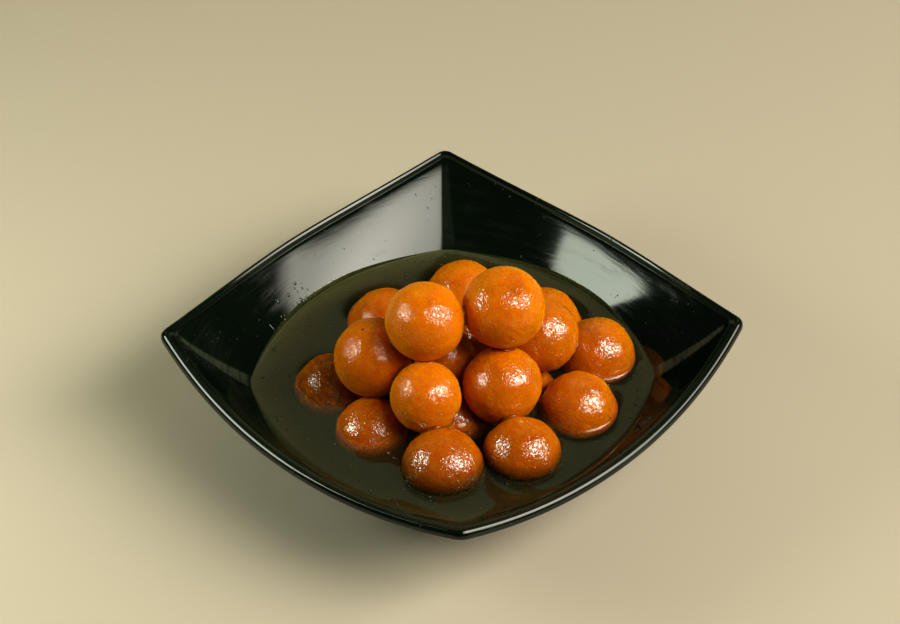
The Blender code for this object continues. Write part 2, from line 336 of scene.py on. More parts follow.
def sphere_of(name):
    """The middle and radius of a ball's solid: a least-squares sphere through the points nothing presses.

    |p|^2 = 2 c.p + (r^2 - |c|^2) is linear in c and in the bracket. Each round leaves out the points
    well inside the last sphere.
    """
    points = np.array([v.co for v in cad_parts[name].data.vertices])
    kept = points
    for _ in range(SPHERE_FITS):
        rows = np.column_stack([2 * kept, np.ones(len(kept))])
        answer = np.linalg.lstsq(rows, (kept**2).sum(axis=1), rcond=None)[0]
        middle = answer[:3]
        radius = math.sqrt(answer[3] + middle @ middle)
        kept = points[np.linalg.norm(points - middle, axis=1) > radius - PRESSED_DEPTH]
    return middle, radius


SPHERES = [sphere_of(name) for name in BALLS]


def waves(points, wavelength, seed, count=36):
    """Smooth noise of about unit size: a sum of count sine waves in random directions and phases."""
    draw = np.random.default_rng(seed)
    way = draw.normal(size=(3, count))
    way *= 2 * math.pi / (wavelength * np.linalg.norm(way, axis=0)) * draw.uniform(0.7, 1.3, count)
    return np.sin(points @ way + draw.uniform(0, 2 * math.pi, count)).sum(axis=1) * math.sqrt(2.0 / count)


def unevenness(directions, order):
    """The share by which a ball's radius varies: two soft ovals and a slight lean.

    With a as the cosine off its own axis, an oval adds 1.5 a^2 - 0.5 and the lean adds a^3. The axes
    are spun by golden angles and tilted by a sine of the ball's order, so that no two balls match.
    """
    shape = np.zeros(len(directions))
    for k, strength in enumerate(OVALS_AND_LEAN):
        spin = GOLDEN_ANGLE * (order + 1) * (k + 1)
        tilt = 0.7 + 1.1 * math.sin(1.7 * order + 2.1 * k)
        axis = np.array([math.cos(spin) * math.sin(tilt), math.sin(spin) * math.sin(tilt), math.cos(tilt)])
        along = directions @ axis
        shape += strength * ((1.5 * along**2 - 0.5) if k < 2 else along**3)
    return UNEVENNESS * shape


def sphere_directions():
    """Unit directions on a grid of bands and turns without its poles, then the two poles."""
    band = (np.arange(1, BALL_ROWS) * math.pi / BALL_ROWS)[:, None]
    turn = (np.arange(BALL_COLUMNS) * 2 * math.pi / BALL_COLUMNS)[None, :]
    east, north, up = np.sin(band) * np.cos(turn), np.sin(band) * np.sin(turn), np.cos(band) + 0 * turn
    grid = np.stack([east, north, up], axis=-1)
    return np.concatenate([grid.reshape(-1, 3), [[0.0, 0.0, 1.0], [0.0, 0.0, -1.0]]])


def pressed(points, order):
    """Points of one ball about its middle, flattened softly where a neighbour presses it.

    Two balls meet at the plane where their spheres cross. What passes the plane is brought back to
    it by a soft maximum, w log(1 + exp(x / w)).
    """
    middle, radius = SPHERES[order]
    for other, (place, size) in enumerate(SPHERES):
        distance = np.linalg.norm(place - middle)
        if other == order or distance > radius + size + PRESS_REACH:
            continue
        way = (place - middle) / distance
        limit = (distance**2 + radius**2 - size**2) / (2 * distance) - PRESS_GAP / 2
        over = PRESS_SOFTNESS * np.logaddexp(0.0, (points @ way - limit) / PRESS_SOFTNESS)
        points = points - over[:, None] * way
    return points


def rest_on_bowl(points):
    """Moves points past the bowl's floor and curved lower wall back inside them."""
    reach = np.hypot(points[:, 0], points[:, 1])
    across = np.maximum(reach - FLOOR_REACH, 0.0)
    down = np.minimum(points[:, 2] - FLOOR_TOP - SWEEP_RADIUS, 0.0)
    share = np.minimum((SWEEP_RADIUS - BOWL_GAP) / np.maximum(np.hypot(across, down), MM), 1.0)
    inner = (np.minimum(reach, FLOOR_REACH) + across * share) / np.maximum(reach, MM)
    height = np.where(down < 0.0, FLOOR_TOP + SWEEP_RADIUS + down * share, points[:, 2])
    return np.column_stack([points[:, :2] * inner[:, None], height])


def make_ball(order, finish):
    """A fried ball: uneven, with shallow dimples and a fine wrinkled skin, pressed by its neighbours.

    Its attributes say how brown it is, with painted light on its top and painted shade below it, how much
    film covers it, and how far it is soaked: from 1 at the syrup to 0 at its soaked height.
    """
    middle, radius = SPHERES[order]
    directions = sphere_directions()
    where = directions * radius
    swell = radius * unevenness(directions, order)
    for wave, (depth, wavelength) in enumerate(DIMPLES):
        swell += depth * MM * waves(where, wavelength * MM, 100 * (wave + 1) + order)
    wrinkle = np.abs(waves(where, WRINKLE_WAVELENGTH, 300 + order, WRINKLE_WAVES))
    swell += WRINKLE_DEPTH * (wrinkle - MEAN_WRINKLE)
    points = pressed(where + directions * swell[:, None], order)
    points = rest_on_bowl(points + middle)
    faces = tube_faces(BALL_ROWS - 1, BALL_COLUMNS)
    ball = new_piece(BALLS[order] + "_fine", points, faces, finish, flipped=True)
    # The tone holds painted light and shade as well: paler on top, browner below
    give_attribute(ball, "tone", TONES[order] + PAINTED_TOP_LIGHT * (TONE_HEIGHT - directions[:, 2]))
    give_attribute(ball, "film", np.full(len(points), FILMS[order]))
    soaked = np.zeros(len(points))
    if order in SOAKED:
        soaked = np.clip((SYRUP_LEVEL + SOAKED[order] - points[:, 2]) / SOAKED[order], 0.0, 1.0)
    give_attribute(ball, "soak", soaked)
    return ball


# ---------------------------------------------------------------- the syrup
SYRUP_GRID = 290
INTO_WALL = 0.35 * MM
WET_LINE_INSET = 1.3 * INTO_WALL  # from the top's edge, which lies in the wall, to clear of its face
CAPILLARY_LENGTH = 2.3 * MM
WETTING_ANGLE = math.radians(8.0)
WALL_SLOPE = math.radians(45.0)  # of the surface, where it leaves the bowl's wall
GENTLY_WETTED = (0, 1, 2, 3)  # the low balls at the front, which the surface runs onto gently
GENTLE_SHARE = 0.18  # of the slope that it has at the others
RISES_JOIN = 1.6  # the power of their sum
FIRST_RISE = 1.5 * MM
RISE_ROUNDS = 6
RISE_TABLE = (1.4 * CAPILLARY_LENGTH, 0.001 * MM, 400)  # the highest rise, the lowest and how many
STRAIGHT_RISE = 0.8 * MM  # how far the surface goes on straight behind its wet line
WETTED_REACH = 0.97  # in radii: a ball whose middle is further above or below the wet line has none
WALL_FOOT_HEIGHT = FLOOR_TOP + SWEEP_RADIUS * (1.0 - math.cos(SIDE_SWEEP_TURN))


def creep_distance(rise):
    """How far from a steep wall a liquid surface has risen so much: a (arccosh(2a/z) - sqrt(4 - z^2/a^2))."""
    share = rise / CAPILLARY_LENGTH
    return CAPILLARY_LENGTH * (np.arccosh(2.0 / share) - np.sqrt(4.0 - share**2))


def creep(away, contact_slope):
    """The liquid's rise at a distance from the line where it leaves something at the given slope.

    At that line the rise is 2 a sin(slope / 2). Behind the line it goes on straight, a little way.
    """
    contact_rise = 2.0 * CAPILLARY_LENGTH * math.sin(contact_slope / 2.0)
    rises = np.geomspace(*RISE_TABLE)
    free = np.interp(creep_distance(contact_rise) + np.maximum(away, 0.0), creep_distance(rises), rises)
    return free + np.clip(-away * math.tan(contact_slope), 0.0, STRAIGHT_RISE)


def syrup_rise(x, y, to_wall):
    """How far the syrup creeps up the balls and the wall it wets, the single rises joined as a power sum.

    The wet line's height on a ball and the surface's slope there depend on each other, so a few
    rounds from a first guess find them.
    """
    total = creep(to_wall, WALL_SLOPE) ** RISES_JOIN
    for order, (middle, radius) in enumerate(SPHERES):
        rise = FIRST_RISE
        for _ in range(RISE_ROUNDS):
            up = (SYRUP_LEVEL + rise - middle[2]) / radius
            if abs(up) > WETTED_REACH:
                break
            slope = math.acos(max(up, 0.0)) - WETTING_ANGLE
            slope *= GENTLE_SHARE if order in GENTLY_WETTED else 1.0
            rise = 2.0 * CAPILLARY_LENGTH * math.sin(slope / 2.0)
        else:
            wet_line = radius * math.sqrt(1.0 - up**2)
            away = np.hypot(x - middle[0], y - middle[1]) - wet_line
            total += creep(away, slope) ** RISES_JOIN
    return total ** (1.0 / RISES_JOIN)


def syrup_plan(u, v, corner, side):
    """Plan position at (u, v) in a square of half side 1, stretched out to a level ring's bowed sides."""
    half = corner[0] / math.sqrt(2.0)
    power = bow_power(side[1])
    x = u * (half + (side[0] - half) * (1.0 - np.abs(v) ** power))
    y = v * (half + (side[0] - half) * (1.0 - np.abs(u) ** power))
    return x, y


def wall_points_at(height, inward):
    """(reach, height) at the corners and at the sides' middles where a level surface meets the bowl."""
    points = []
    for wall in (corner_wall, side_wall):
        reach, heights = np.array([wall(share, inward) for share in np.linspace(0.0, 1.0, 201)]).T
        points.append((np.interp(height, heights, reach), height))
    return points


def square_ring(corner, middle):
    """A ring with sharp corners, its points at the even steps of the syrup's grid, side after side."""
    side = ring_side(np.linspace(-1.0, 1.0, SYRUP_GRID)[:-1], corner, middle, bow_power(middle[1]))
    return four_sides(side)


def make_syrup(finish):
    """The syrup: its creeping top on a grid over the whole bowl, and below it a body just into the wall."""
    n = SYRUP_GRID
    wall_rise = creep(np.zeros(1), WALL_SLOPE)[0]
    corner, side = wall_points_at(SYRUP_LEVEL + wall_rise, -INTO_WALL)
    step = np.linspace(-1.0, 1.0, n)
    u, v = [row.ravel() for row in np.meshgrid(step, step)]
    x, y = syrup_plan(u, v, corner, side)
    to_wall = np.minimum(1.0 - np.abs(u), 1.0 - np.abs(v)) * side[0] - WET_LINE_INSET
    z = SYRUP_LEVEL + syrup_rise(x, y, to_wall)
    top = np.column_stack([x, y, z])
    # The grid's edge in the order of a ring: along the far side, then clockwise
    index = np.arange(n * n).reshape(n, n)
    edge = np.concatenate([index[-1, :-1], index[::-1, -1][:-1], index[0, ::-1][:-1], index[:, 0][:-1]])
    lower = []
    for share in (1.0, 0.75, 0.5, 0.25, 0.0):
        height = SYRUP_LEVEL * share + WALL_FOOT_HEIGHT * (1 - share)
        lower.append(square_ring(*wall_points_at(height, -INTO_WALL)))
    for share in (0.75, 0.5, 0.25, 0.0):
        lower.append(square_ring(sweep_point(share * CORNER_SWEEP_TURN, -INTO_WALL),
                                 sweep_point(share * SIDE_SWEEP_TURN, -INTO_WALL)))
    columns = len(edge)
    below = len(top) + np.arange(len(lower) * columns).reshape(len(lower), columns)
    rows = np.concatenate([edge[None, :], below])
    beside = np.roll(rows, -1, axis=1)
    walls = np.stack([rows[:-1], beside[:-1], beside[1:], rows[1:]], axis=-1).reshape(-1, 4)
    middle = len(top) + len(lower) * columns
    floor = np.stack([rows[-1], beside[-1], np.full(columns, middle)], axis=-1)
    points = np.concatenate([top, np.concatenate(lower), [[0.0, 0.0, FLOOR_TOP - INTO_WALL]]])
    return new_piece("syrup_fine", points, [grid_faces(n, n, False), walls, floor], finish)


# ---------------------------------------------------------------- syrup held between the balls
COLLAR_STEPS = 8
COLLAR_TURNS = 72
COLLAR_ROWS = COLLAR_STEPS + 3  # the arc's points and the two that close the section
COLLAR_FILLET = 0.65 * MM
COLLAR_SAG = 0.30
COLLAR_RIPPLES = (0.22, 0.15)
COLLAR_SPARE = 0.05 * MM  # beyond half the gap that it has to span
COLLAR_OVERRUN = 0.08  # of the arc at each end, into the ball
COLLAR_WIDEST_GAP = 0.9 * MM
COLLAR_CLEARANCE = 1.0 * MM  # a contact lower than this above the syrup has no collar


def collar(order, other):
    """A syrup bridge round the contact of two balls: an arc that touches both, turned about their axis.

    The arc's middle lies a fillet radius f off both spheres, so a triangle of the three middles gives
    it. The fillet varies round the axis: a cosine thickens it below, where the syrup sags, and two
    sines ripple it.
    """
    (first, r1), (second, r2) = SPHERES[order], SPHERES[other]
    distance = np.linalg.norm(second - first)
    axis = (second - first) / distance
    across = np.cross(axis, [0.0, 0.0, 1.0])
    across /= np.linalg.norm(across)
    lower = np.cross(axis, across)
    lower *= -np.sign(lower[2])
    turn = np.arange(COLLAR_TURNS) * 2 * math.pi / COLLAR_TURNS
    twice, thrice = COLLAR_RIPPLES
    spread = 1.0 + COLLAR_SAG * np.cos(turn)
    spread = spread + twice * np.sin(2 * turn + order) + thrice * np.sin(3 * turn + 2.0 * other)
    f = np.maximum(COLLAR_FILLET * spread, 0.5 * (distance - r1 - r2) + COLLAR_SPARE)[None, :]
    along = ((r1 + f) ** 2 + distance**2 - (r2 + f) ** 2) / (2 * distance)
    off = np.sqrt((r1 + f) ** 2 - along**2)
    start = np.arctan2(-off, -along)
    end = np.arctan2(-off, distance - along)
    share = np.linspace(-COLLAR_OVERRUN, 1.0 + COLLAR_OVERRUN, COLLAR_STEPS + 1)[:, None]
    angle = start + share * (end - start)
    rows_along = along + f * np.cos(angle)
    rows_off = off + f * np.sin(angle)
    # Back inside the two balls, to close the ring
    inner = rows_off[[0]] - 1.5 * f
    rows_along = np.concatenate([rows_along, rows_along[[-1]], rows_along[[0]]])
    rows_off = np.concatenate([rows_off, inner, inner])
    way = np.cos(turn)[None, :, None] * lower + np.sin(turn)[None, :, None] * across
    return (first + rows_along[..., None] * axis + rows_off[..., None] * way).reshape(-1, 3)


def collar_faces():
    """Faces of a ring of closed sections."""
    last = (COLLAR_ROWS - 1) * COLLAR_TURNS + np.arange(COLLAR_TURNS)
    start = np.arange(COLLAR_TURNS)
    closing = np.stack([last, np.roll(last, -1), np.roll(start, -1), start], axis=-1)
    return np.concatenate([grid_faces(COLLAR_ROWS, COLLAR_TURNS, True), closing])


def make_collars(finish):
    """Syrup held where balls touch, above the syrup's level."""
    collars = []
    for order, (first, r1) in enumerate(SPHERES):
        for other, (second, r2) in enumerate(SPHERES[:order]):
            gap = np.linalg.norm(second - first) - r1 - r2
            contact = first + (second - first) * r1 / (r1 + r2)
            if gap <= COLLAR_WIDEST_GAP and contact[2] >= SYRUP_LEVEL + COLLAR_CLEARANCE:
                collars.append(collar(order, other))
    faces = [collar_faces() + k * COLLAR_ROWS * COLLAR_TURNS for k in range(len(collars))]
    return new_piece("syrup_collars", np.concatenate(collars), faces, finish)


# ---------------------------------------------------------------- drops and bubbles
DOME_ROWS = 4
DOME_TURNS = 10
DOME_SINK = 0.08 * MM
DROPS = 30
DROP_SPREAD = (-0.44, -0.06)  # along the wall
DROP_LOWEST = 0.39  # share of the way up the wall
DROP_SPAN = 0.24
DROP_STRETCH = (1.0, 1.5)
DROP_FLATNESS = 0.45
RUN = (-0.50, 0.44, 0.36 * MM, 6.0)  # along the wall, up it, its radius and its stretch
A_LITTLE = 0.01  # along or up the wall, to find which way it faces
BUBBLE_DRAWS = 620
BUBBLE_REACH = 0.95  # of the way to the wall
BUBBLE_CLEARANCE = -1.0 * MM  # off a ball's widest, as it is narrower at the syrup
BUBBLE_FLATNESS = 0.8


def domes(places, normals, sideways, radii, stretches, flatness):
    """Low domes on a surface, each a grid of DOME_ROWS rings, a tip and a middle under it.

    With b from 0 at the tip to a quarter turn at the rim, a point lies radius sin(b) off the middle,
    stretched along one way, and radius flatness cos(b) above the surface, the rim sunk into it.
    """
    bend = (np.arange(1, DOME_ROWS + 1) * math.pi / 2 / DOME_ROWS)[None, :, None]
    turn = (np.arange(DOME_TURNS) * 2 * math.pi / DOME_TURNS)[None, None, :]
    size = radii[:, None, None]
    along = size * stretches[:, None, None] * np.sin(bend) * np.cos(turn)
    across = size * np.sin(bend) * np.sin(turn)
    above = size * flatness * np.cos(bend) + 0 * turn - DOME_SINK
    lengthways = np.cross(sideways, normals)
    rings = places[:, None, None] + along[..., None] * lengthways[:, None, None]
    rings = rings + across[..., None] * sideways[:, None, None] + above[..., None] * normals[:, None, None]
    tips = places + normals * (radii * flatness - DOME_SINK)[:, None]
    bottoms = places - normals * 2 * DOME_SINK
    count = len(places)
    points = np.concatenate([rings.reshape(count, -1, 3), tips[:, None], bottoms[:, None]], axis=1)
    each = np.arange(count)[:, None, None] * points.shape[1]
    blocks = [block[None] + each for block in tube_faces(DOME_ROWS, DOME_TURNS)]
    return points, [block.reshape(-1, block.shape[-1]) for block in blocks]


def wall_places(t, share):
    """Points on the bowl's inner wall facing +X, at t along the side and share of the way up, as arrays."""
    corner = np.array([corner_wall(s) for s in share])
    side = np.array([side_wall(s) for s in share])
    spots = [ring_side(np.array([a]), c, m, bow_power(m[1]))[0] for a, c, m in zip(t, corner, side)]
    return np.array(spots) @ np.array([[0.0, 1.0, 0.0], [-1.0, 0.0, 0.0], [0.0, 0.0, 1.0]])


def make_drops(finish):
    """Splashed drops of syrup on the wall facing +X, most of them low, with one short run down it."""
    draw = np.random.default_rng(41)
    t = draw.uniform(*DROP_SPREAD, DROPS)
    share = DROP_LOWEST + DROP_SPAN * draw.random(DROPS) ** 1.6
    radii = 0.28 * MM + 0.50 * MM * draw.random(DROPS) ** 2
    stretches = draw.uniform(*DROP_STRETCH, DROPS)
    t[0], share[0], radii[0], stretches[0] = RUN
    places = wall_places(t, share)
    upward, along = wall_places(t, share + A_LITTLE), wall_places(t + A_LITTLE, share)
    normals = np.cross(upward - places, along - places)
    normals /= np.linalg.norm(normals, axis=1)[:, None]
    normals *= np.sign(normals[:, [0]])
    sideways = np.cross(normals, [0.0, 0.0, 1.0])
    sideways /= np.linalg.norm(sideways, axis=1)[:, None]
    points, faces = domes(places, normals, sideways, radii, stretches, DROP_FLATNESS)
    return new_piece("syrup_drops", points, faces, finish)


def make_bubbles(finish):
    """Tiny bubbles afloat on the syrup, clear of the balls and of the wall."""
    draw = np.random.default_rng(7)
    corner, side = wall_points_at(SYRUP_LEVEL, 0.0)
    u, v = draw.uniform(-BUBBLE_REACH, BUBBLE_REACH, (2, BUBBLE_DRAWS))
    x, y = syrup_plan(u, v, corner, side)
    clear = np.min([np.hypot(x - m[0], y - m[1]) - r for m, r in SPHERES], axis=0) > BUBBLE_CLEARANCE
    x, y, u, v = x[clear], y[clear], u[clear], v[clear]
    height = SYRUP_LEVEL + syrup_rise(x, y, np.minimum(1.0 - np.abs(u), 1.0 - np.abs(v)) * side[0])
    count = len(x)
    radii = 0.20 * MM + 0.45 * MM * draw.random(count) ** 3
    up = np.tile([0.0, 0.0, 1.0], (count, 1))
    places = np.column_stack([x, y, height])
    points, faces = domes(places, up, up[:, [2, 0, 1]], radii, np.ones(count), BUBBLE_FLATNESS)
    return new_piece("syrup_bubbles", points, faces, finish)


# ---------------------------------------------------------------- materials
def new_material(name):
    """A material with its nodes, its links and its main shader."""
    made = bpy.data.materials.new(name)
    made.use_nodes = True
    return made, made.node_tree.nodes, made.node_tree.links, made.node_tree.nodes["Principled BSDF"]


def set_finish(shader, **settings):
    """Constant values of a shader's sockets, by their names with _ for each space."""
    for name, value in settings.items():
        shader.inputs[name.replace("_", " ")].default_value = value


def add_attribute(nodes, name):
    """The number that a piece carries at its points under this name."""
    attribute = nodes.new("ShaderNodeAttribute")
    attribute.attribute_name = name
    return attribute.outputs["Fac"]


def add_noise(nodes, links, where, scale, detail, roughness=0.5):
    """A noise texture on the given coordinates, scale in waves per metre."""
    noise = nodes.new("ShaderNodeTexNoise")
    noise.inputs["Scale"].default_value = scale
    noise.inputs["Detail"].default_value = detail
    noise.inputs["Roughness"].default_value = roughness
    links.new(where, noise.inputs["Vector"])
    return noise.outputs["Fac"]


def add_math(nodes, links, operation, *values):
    """One step of arithmetic on numbers or sockets."""
    step = nodes.new("ShaderNodeMath")
    step.operation = operation
    for socket, value in zip(step.inputs, values):
        if isinstance(value, bpy.types.NodeSocket):
            links.new(value, socket)
        else:
            socket.default_value = value
    return step.outputs["Value"]


def add_mix(nodes, links, share, first, second):
    """A colour that goes from first to second with the share; first is a colour or a socket."""
    mix = nodes.new("ShaderNodeMix")
    mix.data_type = "RGBA"
    sockets = {socket.identifier: socket for socket in mix.inputs}
    links.new(share, sockets["Factor_Float"])
    if isinstance(first, bpy.types.NodeSocket):
        links.new(first, sockets["A_Color"])
    else:
        sockets["A_Color"].default_value = (*first, 1.0)
    sockets["B_Color"].default_value = (*second, 1.0)
    return {socket.identifier: socket for socket in mix.outputs}["Result_Color"]


def add_span(nodes, links, value, low, high, least=0.0, most=1.0):
    """least where the value is at low and most where it is at high, with a smooth change between."""
    span = nodes.new("ShaderNodeMapRange")
    span.interpolation_type = "SMOOTHSTEP"
    span.inputs["From Min"].default_value = low
    span.inputs["From Max"].default_value = high
    span.inputs["To Min"].default_value = least
    span.inputs["To Max"].default_value = most
    links.new(value, span.inputs["Value"])
    return span.outputs["Result"]


def add_bump(nodes, links, height, distance, below=None):
    """A bump of the given full height in metres, on top of the normal of another bump."""
    bump = nodes.new("ShaderNodeBump")
    bump.inputs["Distance"].default_value = distance
    links.new(height, bump.inputs["Height"])
    if below is not None:
        links.new(below, bump.inputs["Normal"])
    return bump.outputs["Normal"]


def black_melamine():
    """Glossy greenish black, wiped: a faint film lies on it in level streaks and duller blots.

    Down the creases, as an attribute says, a pale olive-grey is painted in as a reflection. Under the syrup
    it loses its shine.
    """
    black = (0.0015, 0.0052, 0.0020)
    filmed = (0.014, 0.018, 0.012)
    spotted = (0.02, 0.016, 0.008)
    painted_crease_sheen = (0.080, 0.089, 0.061)
    made, nodes, links, shader = new_material("black_melamine")
    where = nodes.new("ShaderNodeTexCoord").outputs["Object"]
    squashed = nodes.new("ShaderNodeVectorMath")
    squashed.operation = "MULTIPLY"
    squashed.inputs[1].default_value = (0.10, 0.10, 1.0)
    links.new(where, squashed.inputs[0])
    level = squashed.outputs["Vector"]
    streaks = add_span(nodes, links, add_noise(nodes, links, level, 420.0, 4.0, 0.65), 0.38, 0.80)
    blots = add_span(nodes, links, add_noise(nodes, links, where, 38.0, 3.0, 0.6), 0.35, 0.75)
    film = add_math(nodes, links, "MULTIPLY", streaks, blots)
    spots = add_span(nodes, links, add_noise(nodes, links, where, 620.0, 1.0), 0.74, 0.78)
    lines = add_span(nodes, links, add_noise(nodes, links, level, 1100.0, 2.0), 0.25, 0.60, least=0.45)
    crease = add_math(nodes, links, "MULTIPLY", add_attribute(nodes, "crease"), lines)
    colour = add_mix(nodes, links, film, black, filmed)
    colour = add_mix(nodes, links, spots, colour, spotted)
    # A painted reflection: a pale olive-grey down the creases
    colour = add_mix(nodes, links, crease, colour, painted_crease_sheen)
    links.new(colour, shader.inputs["Base Color"])
    polish, film_dulls, spots_dull = 0.07, 0.22, 0.35
    dry = add_math(nodes, links, "MULTIPLY_ADD", film, film_dulls, polish)
    dry = add_math(nodes, links, "MULTIPLY_ADD", spots, spots_dull, dry)
    axes = nodes.new("ShaderNodeSeparateXYZ")
    links.new(where, axes.inputs["Vector"])
    above, below = SYRUP_LEVEL + 0.5 * MM, SYRUP_LEVEL - 0.5 * MM
    covered = add_span(nodes, links, axes.outputs["Z"], above, below, most=0.75)
    links.new(add_math(nodes, links, "MAXIMUM", covered, dry), shader.inputs["Roughness"])
    links.new(add_bump(nodes, links, streaks, 0.008 * MM), shader.inputs["Normal"])
    set_finish(shader, IOR=1.5)
    return made


def fried_skin():
    """Deep golden fried dough soaked in syrup: mottled, finely wrinkled, under a glossy film.

    Every ball carries its own tone as an attribute, with painted light and shade added by height: 0 is
    orange, 1 browner, 2 murky under syrup and below 0 more golden, which only the painted light on the tops
    reaches. Another says how wet it is, and the film lies where that and noise are high.
    """
    orange = (0.72, 0.195, 0.0010)
    brown = (0.24, 0.042, 0.0006)
    painted_top_gold = (0.80, 0.275, 0.001)
    murk = (0.16, 0.062, 0.004)
    browned = (0.40, 0.078, 0.001)
    pale = (0.78, 0.255, 0.002)
    burnt = (0.16, 0.030, 0.001)
    soaked = (0.020, 0.013, 0.003)
    made, nodes, links, shader = new_material("fried_skin")
    where = nodes.new("ShaderNodeTexCoord").outputs["Object"]
    tone = add_attribute(nodes, "tone")
    colour = add_mix(nodes, links, tone, orange, brown)
    # Painted light: below tone 0, which only the painted tops reach, the colour turns golden
    colour = add_mix(nodes, links, add_span(nodes, links, tone, 0.0, -0.25), colour, painted_top_gold)
    colour = add_mix(nodes, links, add_span(nodes, links, tone, 1.0, 2.0), colour, murk)
    patches = add_span(nodes, links, add_noise(nodes, links, where, 110.0, 2.0), 0.40, 1.05)
    colour = add_mix(nodes, links, patches, colour, browned)
    mottle = add_span(nodes, links, add_noise(nodes, links, where, 420.0, 3.0, 0.6), 0.45, 1.15)
    colour = add_mix(nodes, links, mottle, colour, pale)
    specks = add_span(nodes, links, add_noise(nodes, links, where, 300.0, 0.0), 0.87, 0.90)
    colour = add_mix(nodes, links, specks, colour, burnt)
    soak = add_span(nodes, links, add_attribute(nodes, "soak"), 0.0, 1.0)
    colour = add_mix(nodes, links, soak, colour, soaked)
    links.new(colour, shader.inputs["Base Color"])
    wrinkles = add_bump(nodes, links, add_noise(nodes, links, where, 520.0, 1.0), 0.12 * MM)
    beads = add_bump(nodes, links, add_noise(nodes, links, where, 1500.0, 1.0), 0.20 * MM, wrinkles)
    links.new(beads, shader.inputs["Normal"])
    links.new(beads, shader.inputs["Coat Normal"])
    unevenly = add_noise(nodes, links, where, 1050.0, 1.0)
    wetness = add_math(nodes, links, "MULTIPLY_ADD", add_attribute(nodes, "film"), 0.20, unevenly)
    film = add_span(nodes, links, wetness, 0.62, 0.74, least=0.15)
    links.new(film, shader.inputs["Coat Weight"])
    set_finish(shader, Roughness=0.5, Specular_IOR_Level=0.0, Coat_Roughness=0.10, Coat_IOR=2.2)
    set_finish(shader, Subsurface_Weight=1.0, Subsurface_Radius=(1.0, 0.09, 0.02), Subsurface_Scale=2.6 * MM)
    return made


def drift_colour(nodes, links, shader, scale, low, high, first, second):
    """A base colour that drifts in soft clouds, from first where noise is low to second where it is high."""
    where = nodes.new("ShaderNodeTexCoord").outputs["Object"]
    clouds = add_span(nodes, links, add_noise(nodes, links, where, scale, 2.0), low, high)
    links.new(add_mix(nodes, links, clouds, first, second), shader.inputs["Base Color"])


def syrup_glaze():
    """Thick syrup between two balls, lit through by the dough behind it, browner in soft clouds."""
    made, nodes, links, shader = new_material("syrup_glaze")
    drift_colour(nodes, links, shader, 260.0, 0.35, 0.70, (0.31, 0.056, 0.001), (0.21, 0.034, 0.001))
    set_finish(shader, Roughness=0.06, IOR=1.48)
    return made


def syrup_drop():
    """Dark wet syrup standing on black, now browner, now greyer: it mostly shows its gloss."""
    made, nodes, links, shader = new_material("syrup_drop")
    drift_colour(nodes, links, shader, 90.0, 0.35, 0.65, (0.012, 0.013, 0.009), (0.017, 0.011, 0.005))
    set_finish(shader, Roughness=0.06, IOR=1.6)
    return made


def sugar_syrup():
    """Clear brown syrup with a faint olive haze, darker with depth. Its shadow is light and plain."""
    made, nodes, links, shader = new_material("sugar_syrup")
    set_finish(shader, Base_Color=(0.90, 0.97, 0.45, 1.0), Roughness=0.03, IOR=1.45)
    set_finish(shader, Transmission_Weight=0.985)
    path = nodes.new("ShaderNodeLightPath")
    clear = nodes.new("ShaderNodeBsdfTransparent")
    set_finish(clear, Color=(0.92, 0.85, 0.60, 1.0))
    mix = nodes.new("ShaderNodeMixShader")
    links.new(path.outputs["Is Shadow Ray"], mix.inputs["Fac"])
    links.new(shader.outputs["BSDF"], mix.inputs[1])
    links.new(clear.outputs["BSDF"], mix.inputs[2])
    output = nodes["Material Output"]
    links.new(mix.outputs["Shader"], output.inputs["Surface"])
    depth = nodes.new("ShaderNodeVolumeAbsorption")
    set_finish(depth, Color=(0.72, 0.50, 0.05, 1.0), Density=210.0)
    links.new(depth.outputs["Volume"], output.inputs["Volume"])
    return made


# ---------------------------------------------------------------- camera, light and floor
CAMERA_DISTANCE = 0.99684
CAMERA_AZIMUTH = math.radians(43.55)
CAMERA_ELEVATION = math.radians(41.127)
CAMERA_ROLL = -0.0048
CAMERA_LENS = 108.12
SENSOR_WIDTH = 36.0
# How far it is turned off the middle of the rim's plane, as shares of the distance
AIM_RIGHT = -0.00088
AIM_UP = 0.005216
FLOOR_HALF_SIZE = 3.0


def add_camera():
    """Looks down at the middle of the rim's plane, turned a hair off it."""
    e, a = CAMERA_ELEVATION, CAMERA_AZIMUTH
    forward = Vector((-math.sin(a) * math.cos(e), math.cos(a) * math.cos(e), -math.sin(e)))
    place = Vector((0.0, 0.0, RIM_CORNER_HEIGHT)) - forward * CAMERA_DISTANCE
    right = Vector((math.cos(a), math.sin(a), 0.0))
    up = right.cross(forward)
    rolled_right = right * math.cos(CAMERA_ROLL) + up * math.sin(CAMERA_ROLL)
    rolled_up = up * math.cos(CAMERA_ROLL) - right * math.sin(CAMERA_ROLL)
    aim = (forward + rolled_right * AIM_RIGHT + rolled_up * AIM_UP).normalized()
    side = aim.cross(rolled_up).normalized()
    turned = Matrix((side, side.cross(aim), -aim)).transposed().to_4x4()
    data = bpy.data.cameras.new("camera")
    data.lens = CAMERA_LENS
    data.sensor_width = SENSOR_WIDTH
    camera = bpy.data.objects.new("camera", data)
    camera.matrix_world = Matrix.Translation(place) @ turned
    bpy.context.scene.collection.objects.link(camera)
    bpy.context.scene.camera = camera


def seen(right, away, up):
    """A direction given by how far it points right, away and up for one who faces the bowl's near corner."""
    c, s = math.cos(CAMERA_AZIMUTH), math.sin(CAMERA_AZIMUTH)
    return Vector((right * c - away * s, right * s + away * c, up))


def edge_fades(nodes, links, on_light, halves, edge):
    """Four shares that rise from 0 at a light's edges to 1 inside a border of the given width."""
    sides = nodes.new("ShaderNodeSeparateXYZ")
    links.new(on_light, sides.inputs["Vector"])
    fades = []
    for axis, half in zip("XY", halves):
        for end in (0.0, 1.0):
            fades.append(add_span(nodes, links, sides.outputs[axis], end, abs(end - 0.5 * edge / half)))
    return fades


